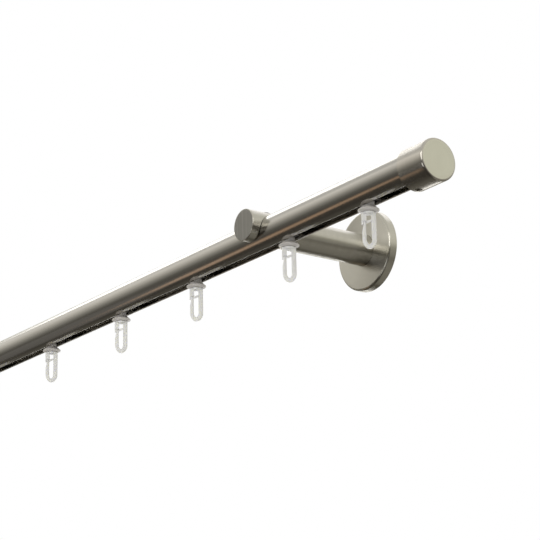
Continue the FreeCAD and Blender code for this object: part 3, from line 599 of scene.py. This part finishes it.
def moulded_nylon(name, clean, rubbed, channel=1.0):
    """Pale nylon: soft light inside it, a faintly uneven colour, and a fine mould texture.
    The given share of its colour is left in the tube's channel, as painted shade where the channel's walls
    shade it."""
    material = bpy.data.materials.new(name)
    material.use_nodes = True
    nodes, links = material.node_tree.nodes, material.node_tree.links
    shader = nodes["Principled BSDF"]
    shader.inputs["Subsurface Weight"].default_value = 0.5
    shader.inputs["Subsurface Radius"].default_value = (0.003, 0.003, 0.0025)
    shader.inputs["Subsurface Scale"].default_value = 0.6
    position = nodes.new("ShaderNodeTexCoord")
    marks = nodes.new("ShaderNodeGroup")
    marks.node_tree = MARKS
    links.new(position.outputs["Object"], marks.inputs["Position"])
    tint = nodes.new("ShaderNodeMix")
    tint.data_type = "RGBA"
    tint.inputs[6].default_value = (*clean, 1)
    tint.inputs[7].default_value = (*rubbed, 1)
    links.new(marks.outputs["Marks"], tint.inputs["Factor"])
    split = nodes.new("ShaderNodeSeparateXYZ")
    links.new(position.outputs["Object"], split.inputs[0])
    # Painted shade: above the slot's mouth the colour is scaled down to the given share, darkening the
    # shoe inside the channel.
    painted_channel_shade = nodes.new("ShaderNodeMapRange")
    painted_channel_shade.inputs["From Min"].default_value = CHANNEL_SHADE_FROM * MM
    painted_channel_shade.inputs["From Max"].default_value = CHANNEL_SHADE_FULL * MM
    painted_channel_shade.inputs["To Min"].default_value = 1.0
    painted_channel_shade.inputs["To Max"].default_value = channel
    links.new(split.outputs["Z"], painted_channel_shade.inputs["Value"])
    channel_shaded_colour = nodes.new("ShaderNodeVectorMath")
    channel_shaded_colour.operation = "SCALE"
    links.new(tint.outputs[2], channel_shaded_colour.inputs[0])
    links.new(painted_channel_shade.outputs["Result"], channel_shaded_colour.inputs["Scale"])
    links.new(channel_shaded_colour.outputs["Vector"], shader.inputs["Base Color"])
    gloss = nodes.new("ShaderNodeMapRange")
    gloss.inputs["To Min"].default_value = 0.28
    gloss.inputs["To Max"].default_value = 0.42
    links.new(marks.outputs["Marks"], gloss.inputs["Value"])
    links.new(gloss.outputs[0], shader.inputs["Roughness"])
    texture = nodes.new("ShaderNodeTexNoise")
    texture.inputs["Scale"].default_value = 2600.0
    links.new(position.outputs["Object"], texture.inputs["Vector"])
    bump = nodes.new("ShaderNodeBump")
    bump.inputs["Strength"].default_value = 0.5
    bump.inputs["Distance"].default_value = 0.00001
    links.new(texture.outputs["Fac"], bump.inputs["Height"])
    links.new(bump.outputs["Normal"], shader.inputs["Normal"])
    return material


# Painted shade: the runner is painted greyer than the hook, standing in for the shade of the tube above
# it, and its shoe nearly black inside the channel.
shaded_runner_nylon = moulded_nylon("runner nylon", (0.53, 0.51, 0.495), (0.45, 0.43, 0.42), channel=0.12)
hook_nylon = moulded_nylon("hook nylon", (0.81, 0.81, 0.80), (0.75, 0.75, 0.75))
for number in range(1, 11):
    repaint(f"runner_{number}", shaded_runner_nylon)
    repaint(f"hook_{number}", hook_nylon)


# Studio. The track hangs free before a white ground, over a plain pale floor well below
# it. The upper room is bright and the lower room dark, and the metal mirrors both. Soft
# lamps far up on the left and behind draw the bright lines along the upper edges.

FLOOR_Z = -620.0


def pale_floor():
    """A large square floor, and a fine, matt, nearly white finish for it."""
    material = bpy.data.materials.new("pale floor")
    material.use_nodes = True
    shader = material.node_tree.nodes["Principled BSDF"]
    shader.inputs["Base Color"].default_value = (0.86, 0.86, 0.86, 1)
    shader.inputs["Roughness"].default_value = 0.9
    x, y = np.meshgrid(np.linspace(-6000, 6000, 3), np.linspace(-6000, 6000, 3), indexing="ij")
    points = np.stack([x, y, np.full_like(x, FLOOR_Z)], axis=-1).reshape(-1, 3) * MM
    mesh = bpy.data.meshes.new("floor")
    mesh.from_pydata(points.tolist(), [], quads(3, 3).reshape(-1, 4)[:, ::-1].tolist())
    mesh.materials.append(material)
    floor = bpy.data.objects.new("floor", mesh)
    scene.collection.objects.link(floor)
    floor.visible_glossy = False


def studio_world():
    """Plain white to the camera. To everything else, light by direction: height sets how
    bright it is, and low down the side behind the track is brighter than the one in front."""
    world = bpy.data.worlds.new("studio")
    scene.world = world
    world.use_nodes = True
    nodes, links = world.node_tree.nodes, world.node_tree.links
    nodes.clear()
    direction = nodes.new("ShaderNodeTexCoord")
    split = nodes.new("ShaderNodeSeparateXYZ")
    links.new(direction.outputs["Generated"], split.inputs[0])
    sides = []
    for stops in (
        # behind the track
        [(0.0, (0.09, 0.085, 0.07)), (0.20, (0.115, 0.108, 0.09)), (0.30, (0.17, 0.16, 0.135)),
         (0.37, (0.30, 0.29, 0.26)), (0.52, (0.38, 0.37, 0.32)), (0.62, (0.68, 0.67, 0.60)),
         (0.74, (0.74, 0.73, 0.67)), (1.0, (0.80, 0.79, 0.74))],
        # in front of it
        [(0.0, (0.045, 0.04, 0.035)), (0.22, (0.055, 0.05, 0.042)), (0.36, (0.09, 0.085, 0.075)),
         (0.45, (0.14, 0.135, 0.12)), (0.56, (0.35, 0.34, 0.31)), (0.67, (0.67, 0.65, 0.60)),
         (0.76, (0.92, 0.90, 0.85)), (0.81, (0.62, 0.61, 0.58)), (1.0, (0.70, 0.70, 0.68))],
    ):
        height = nodes.new("ShaderNodeMapRange")
        height.inputs["From Min"].default_value = -1.0
        links.new(split.outputs["Z"], height.inputs["Value"])
        ramp = nodes.new("ShaderNodeValToRGB")
        elements = ramp.color_ramp.elements
        while len(elements) < len(stops):
            elements.new(1.0)
        for element, (place, colour) in zip(elements, stops):
            element.position = place
            element.color = (*colour, 1)
        links.new(height.outputs["Result"], ramp.inputs["Fac"])
        sides.append(ramp)
    behind = nodes.new("ShaderNodeMapRange")
    behind.inputs["From Min"].default_value = -0.15
    behind.inputs["From Max"].default_value = 0.25
    links.new(split.outputs["Y"], behind.inputs["Value"])
    room = nodes.new("ShaderNodeMix")
    room.data_type = "RGBA"
    links.new(behind.outputs["Result"], room.inputs["Factor"])
    links.new(sides[1].outputs["Color"], room.inputs[6])
    links.new(sides[0].outputs["Color"], room.inputs[7])
    lit = nodes.new("ShaderNodeBackground")
    links.new(room.outputs[2], lit.inputs["Color"])
    plain = nodes.new("ShaderNodeBackground")
    plain.inputs["Color"].default_value = (1, 1, 1, 1)
    ray = nodes.new("ShaderNodeLightPath")
    seen = nodes.new("ShaderNodeMixShader")
    links.new(ray.outputs["Is Camera Ray"], seen.inputs["Fac"])
    links.new(lit.outputs[0], seen.inputs[1])
    links.new(plain.outputs[0], seen.inputs[2])
    out = nodes.new("ShaderNodeOutputWorld")
    links.new(seen.outputs[0], out.inputs["Surface"])


def soft_lamp(name, place, aim, size, brightness, colour=(1, 1, 1)):
    """A square lamp of even brightness, in the units in which white paper in full light is 1.
    Its power is brightness times pi times its area."""
    light = bpy.data.lights.new(name, "AREA")
    light.shape = "RECTANGLE"
    light.size, light.size_y = size[0] * MM, size[1] * MM
    light.energy = brightness * math.pi * light.size * light.size_y
    light.color = colour
    lamp = bpy.data.objects.new(name, light)
    lamp.location = Vector(place) * MM
    lamp.rotation_euler = (Vector(aim) - Vector(place)).to_track_quat("-Z", "Y").to_euler()
    lamp.visible_camera = False
    scene.collection.objects.link(lamp)


pale_floor()
studio_world()
soft_lamp("top left softbox", (-2295, 323, 1887), (0, -79, 0), (1130, 900), 1.7)
soft_lamp("back left strip", (-432, 576, 767), (0, -40, 0), (800, 480), 0.9, (0.93, 0.91, 1.0))
soft_lamp("low bounce", (200, 341, -525), (0, -40, 0), (1000, 500), 0.15, (1.0, 0.97, 0.88))
soft_lamp("slot lip bounce", (-1377, 1019, -400), (0, -79, 0), (900, 360), 1.8)
soft_lamp("low front fill", (120, -1080, -420), (0, 0, 0), (900, 300), 1.2)
soft_lamp("warm strip", (-675, -516, -440), (0, -79, 0), (380, 140), 0.40, (1.0, 0.64, 0.40))
soft_lamp("far low bounce", (-1000, -440, -400), (-150, -79, 0), (360, 420), 0.08)
soft_lamp("front fill", (900, -1430, 540), (0, -79, 0), (900, 900), 2.1)


# Camera. It stands to the right of the track's end and below it, and looks up at it
# through a long lens, so the track runs off to the lower left.

CAMERA_PLACE = (854.0, -711.4, -361.0)
CAMERA_AZIMUTH, CAMERA_ELEVATION, CAMERA_ROLL = 53.357, -17.559, -1.32
camera_data = bpy.data.cameras.new("camera")
camera_data.lens, camera_data.sensor_width = 128.99, 36.0
camera = bpy.data.objects.new("camera", camera_data)
scene.collection.objects.link(camera)
turned = (Matrix.Rotation(math.radians(CAMERA_AZIMUTH), 4, "Z")
          @ Matrix.Rotation(math.radians(90 - CAMERA_ELEVATION), 4, "X")
          @ Matrix.Rotation(math.radians(CAMERA_ROLL), 4, "Z"))
camera.matrix_world = Matrix.Translation(Vector(CAMERA_PLACE) * MM) @ turned
scene.camera = camera
scene.view_settings.view_transform = "Standard"
